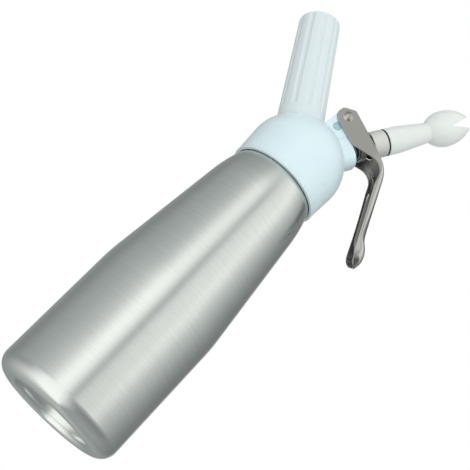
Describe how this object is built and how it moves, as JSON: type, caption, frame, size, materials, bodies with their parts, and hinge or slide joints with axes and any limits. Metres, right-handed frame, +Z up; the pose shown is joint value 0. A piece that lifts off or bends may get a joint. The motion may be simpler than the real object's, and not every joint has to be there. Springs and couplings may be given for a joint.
{
  "type": "whipped cream dispenser",
  "caption": "Whipped cream dispenser: tapered metal bottle, screw-on domed head with a lever valve and tulip nozzle, and a fluted holder that presses in a gas charger.",
  "frame": {"origin": "centre of the ring that the bottle stands on, on the bottle's axis, at the height of the surface it stands on", "axes": "+Z up along the bottle's axis, +X towards the nozzle and the lever, so the charger holder leans to -X; the mirror plane is Y = 0"},
  "size_m": [0.1324, 0.08, 0.3184],
  "materials": {
    "bottle_aluminium": "satin, fine circular grain",
    "head_plastic": "glossy, pale ice blue",
    "holder_plastic": "semi-gloss, pale grey blue",
    "nozzle_plastic": "semi-gloss, greenish white",
    "lever_steel": "satin stamped sheet with polished edges",
    "bright_steel": "polished",
    "turned_steel": "turned",
    "charger_steel": "clear-lacquered drawn steel",
    "dark_ring_metal": "blackened",
    "silicone": "translucent silicone",
    "black_rubber": "moulded seal rubber",
    "guide_plastic": "machined acetal"
  },
  "bodies": {
    "bottle_body": {"bottle": "bottle_aluminium"},
    "gasket_body": {"head_gasket": "silicone"},
    "head": {"head_housing": "head_plastic", "charger_socket": "turned_steel", "socket_gasket": "black_rubber", "piercing_pin": "bright_steel", "pin_gasket": "black_rubber", "check_valve": "black_rubber", "valve_bushing": "guide_plastic", "valve_spring": "bright_steel"},
    "charger": {"gas_charger": "charger_steel"},
    "holder": {"charger_holder": "holder_plastic"},
    "valve": {"valve_stem": "turned_steel", "valve_lock_nut": "bright_steel", "seat_washer": "bright_steel", "seat_gasket": "black_rubber", "stem_o_ring": "black_rubber", "spring_cap": "turned_steel", "collar_ring": "dark_ring_metal", "nozzle_collar": "turned_steel"},
    "nozzle_ring": {"nozzle_o_ring": "black_rubber"},
    "nozzle": {"decorator_nozzle": "nozzle_plastic"},
    "lever": {"lever": "lever_steel", "lever_pivot_pin": "bright_steel", "lever_thrust_pins": "bright_steel"}
  },
  "joints": [
    {"name": "head_rise", "type": "slide", "parent": "bottle_body", "child": "gasket_body", "axis": [0, 0, 1], "range_m": [0, 0.01601]},
    {"name": "head_turn", "type": "hinge", "parent": "gasket_body", "child": "head", "pos_m": [0, 0, 0.2065], "axis": [0, 0, 1], "range_deg": [0, 1440]},
    {"name": "holder_rise", "type": "slide", "parent": "head", "child": "charger", "axis": [-0.4939, 0, 0.8695], "range_m": [0, 0.01251]},
    {"name": "holder_turn", "type": "hinge", "parent": "charger", "child": "holder", "pos_m": [0, 0, 0.2072], "axis": [-0.4939, 0, 0.8695], "range_deg": [0, 1800]},
    {"name": "lever_pull", "type": "hinge", "parent": "head", "child": "lever", "pos_m": [0.0047, 0, 0.2536], "axis": [0, 1, 0], "range_deg": [0, 9], "stiffness_Nm_per_rad": 4, "springref_deg": -8.59},
    {"name": "valve_slide", "type": "slide", "parent": "head", "child": "valve", "axis": [0.5, 0, 0.866], "range_m": [-0.00297, 0], "deforming": ["valve_spring"]},
    {"name": "nozzle_turn", "type": "hinge", "parent": "valve", "child": "nozzle_ring", "pos_m": [0, 0, 0.2087], "axis": [0.5, 0, 0.866], "range_deg": [0, 1440]},
    {"name": "nozzle_rise", "type": "slide", "parent": "nozzle_ring", "child": "nozzle", "axis": [0.5, 0, 0.866], "range_m": [0, 0.00801]}
  ],
  "couplings": [
    {"joint": "head_rise", "follows": "head_turn", "m_per_rad": 0.00063662},
    {"joint": "holder_rise", "follows": "holder_turn", "m_per_rad": 0.00039789},
    {"joint": "valve_slide", "follows": "lever_pull", "m_per_rad": -0.0189},
    {"joint": "nozzle_rise", "follows": "nozzle_turn", "m_per_rad": 0.00031831}
  ]
}
